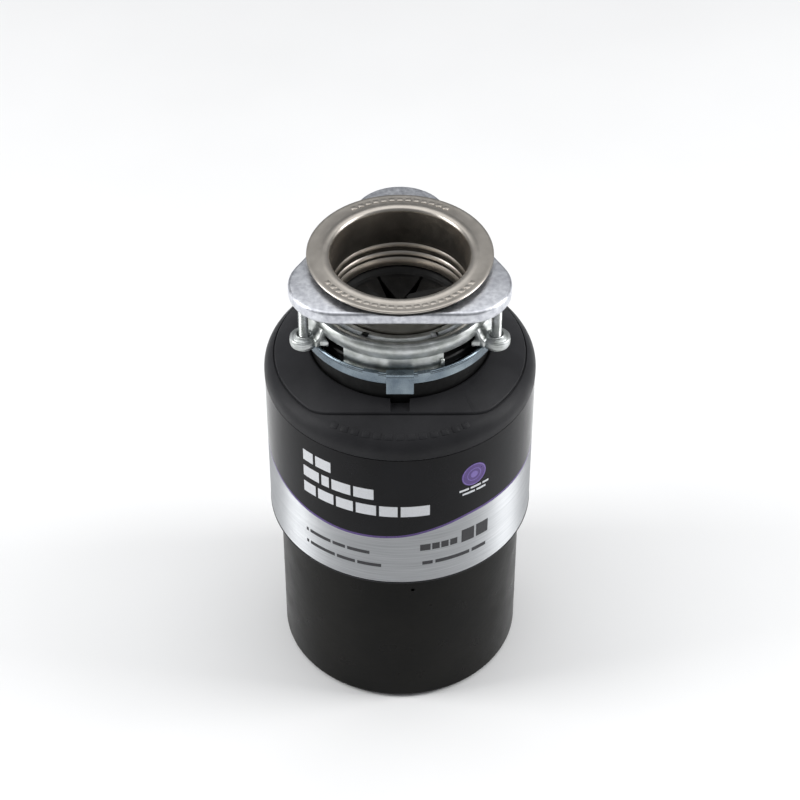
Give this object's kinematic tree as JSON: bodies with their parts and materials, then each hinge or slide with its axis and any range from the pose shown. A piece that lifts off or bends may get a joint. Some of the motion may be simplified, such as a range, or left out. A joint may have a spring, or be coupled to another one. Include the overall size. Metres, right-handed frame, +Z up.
{
  "type": "garbage disposal",
  "caption": "Under-sink food waste disposal: round motor can, wider trim shell with a label band, and a three-screw sink mount with a wide metal flange and rubber baffle.",
  "frame": {"origin": "on the vertical axis, at the bottom of the motor can", "axes": "+Z up along the motor shaft towards the sink; the label's front faces -Y and the discharge outlet +Y"},
  "size_m": [0.173, 0.173, 0.3245],
  "materials": {
    "black_enamel": "semi-gloss black enamel",
    "shell_plastic": "satin moulded black",
    "black_plastic": "matt glass-filled black",
    "black_phenolic": "matt moulded",
    "label_film": "glossy black film with a brushed silver band",
    "stainless_steel": "satin stainless",
    "zinc_plate": "bright zinc plate",
    "blue_zinc": "blue-white zinc plate",
    "cast_zinc": "spangled zinc plate on pressed steel",
    "cast_aluminium": "as cast",
    "lamination_steel": "varnished laminations",
    "steel": "bright steel",
    "copper_wire": "varnished copper winding",
    "bearing_bronze": "sintered bronze",
    "black_rubber": "matt rubber",
    "red_plastic": "gloss red"
  },
  "bodies": {
    "disposer": {"lower_can": "black_enamel", "terminal_cover": "zinc_plate", "terminal_cover_screw": "zinc_plate", "lower_end_frame": "cast_aluminium", "lower_bearing": "bearing_bronze", "overload_protector": "black_phenolic", "start_switch": "black_phenolic", "stator_core": "lamination_steel", "winding_lower": "copper_wire", "winding_upper": "copper_wire", "upper_end_frame": "cast_aluminium", "upper_bearing": "bearing_bronze", "shaft_seal": "black_rubber", "through_bolt_1": "steel", "through_bolt_2": "steel", "through_bolt_3": "steel", "through_bolt_4": "steel", "lower_container": "black_plastic", "container_gasket": "black_rubber", "grind_ring": "stainless_steel", "upper_container": "black_plastic", "container_screw_1": "steel", "container_screw_2": "steel", "container_screw_3": "steel", "container_screw_4": "steel", "trim_shell": "shell_plastic", "label_wrap": "label_film", "neck_cushion": "black_rubber", "splash_baffle": "black_rubber"},
    "rotor": {"rotor_shaft": "steel", "rotor_core": "lamination_steel", "rotor_end_ring_lower": "cast_aluminium", "rotor_end_ring_upper": "cast_aluminium", "slinger": "black_rubber", "turntable": "stainless_steel", "turntable_nut": "stainless_steel", "lug_pin_1": "stainless_steel", "lug_pin_2": "stainless_steel"},
    "lug_1": {"swivel_lug_1": "stainless_steel"},
    "lug_2": {"swivel_lug_2": "stainless_steel"},
    "switch_sleeve": {"centrifugal_sleeve": "black_phenolic"},
    "switch_arm": {"start_switch_arm": "bearing_bronze"},
    "reset": {"reset_button": "red_plastic"},
    "lower_ring": {"lower_mounting_ring": "blue_zinc"},
    "sink_mount": {"sink_flange": "stainless_steel", "snap_ring": "steel", "mounting_ring": "zinc_plate"},
    "backup": {"backup_ring": "cast_zinc", "flange_gasket": "black_rubber"},
    "screw_1": {"mounting_screw_1": "zinc_plate"},
    "screw_2": {"mounting_screw_2": "zinc_plate"},
    "screw_3": {"mounting_screw_3": "zinc_plate"}
  },
  "joints": [
    {"name": "rotor_spin", "type": "hinge", "parent": "disposer", "child": "rotor", "pos_m": [0, 0, 0.1], "axis": [0, 0, 1], "continuous": true},
    {"name": "lug_1_swivel", "type": "hinge", "parent": "rotor", "child": "lug_1", "pos_m": [0.042, 0, 0.184], "axis": [0, 0, 1], "continuous": true},
    {"name": "lug_2_swivel", "type": "hinge", "parent": "rotor", "child": "lug_2", "pos_m": [-0.042, 0, 0.184], "axis": [0, 0, 1], "continuous": true},
    {"name": "start_sleeve_slide", "type": "slide", "parent": "rotor", "child": "switch_sleeve", "axis": [0, 0, -1], "range_m": [0, 0.003], "stiffness_N_per_m": 400, "springref_m": -0.005},
    {"name": "start_arm_hinge", "type": "hinge", "parent": "disposer", "child": "switch_arm", "pos_m": [-0.031, 0, 0.0316], "axis": [0, 1, 0], "range_deg": [0, 10.7]},
    {"name": "reset_button_press", "type": "slide", "parent": "disposer", "child": "reset", "axis": [0, 0, 1], "range_m": [0, 0.0025], "stiffness_N_per_m": 300},
    {"name": "lower_ring_swivel", "type": "hinge", "parent": "disposer", "child": "lower_ring", "pos_m": [0, 0, 0.272], "axis": [0, 0, 1], "continuous": true},
    {"name": "quick_lock_turn", "type": "hinge", "parent": "lower_ring", "child": "sink_mount", "pos_m": [0, 0, 0.28], "axis": [0, 0, 1], "range_deg": [-15, 44.5]},
    {"name": "backup_ring_slide", "type": "slide", "parent": "sink_mount", "child": "backup", "axis": [0, 0, 1], "range_m": [-0.01, 0]},
    {"name": "mounting_screw_1_slide", "type": "slide", "parent": "sink_mount", "child": "screw_1", "axis": [0, 0, 1], "range_m": [-0.01, 0]},
    {"name": "mounting_screw_2_slide", "type": "slide", "parent": "sink_mount", "child": "screw_2", "axis": [0, 0, 1], "range_m": [-0.01, 0]},
    {"name": "mounting_screw_3_slide", "type": "slide", "parent": "sink_mount", "child": "screw_3", "axis": [0, 0, 1], "range_m": [-0.01, 0]}
  ],
  "couplings": [
    {"joint": "start_arm_hinge", "follows": "start_sleeve_slide", "rad_per_m": 62},
    {"joint": "mounting_screw_1_slide", "follows": "backup_ring_slide", "ratio": 1},
    {"joint": "mounting_screw_2_slide", "follows": "backup_ring_slide", "ratio": 1},
    {"joint": "mounting_screw_3_slide", "follows": "backup_ring_slide", "ratio": 1}
  ]
}
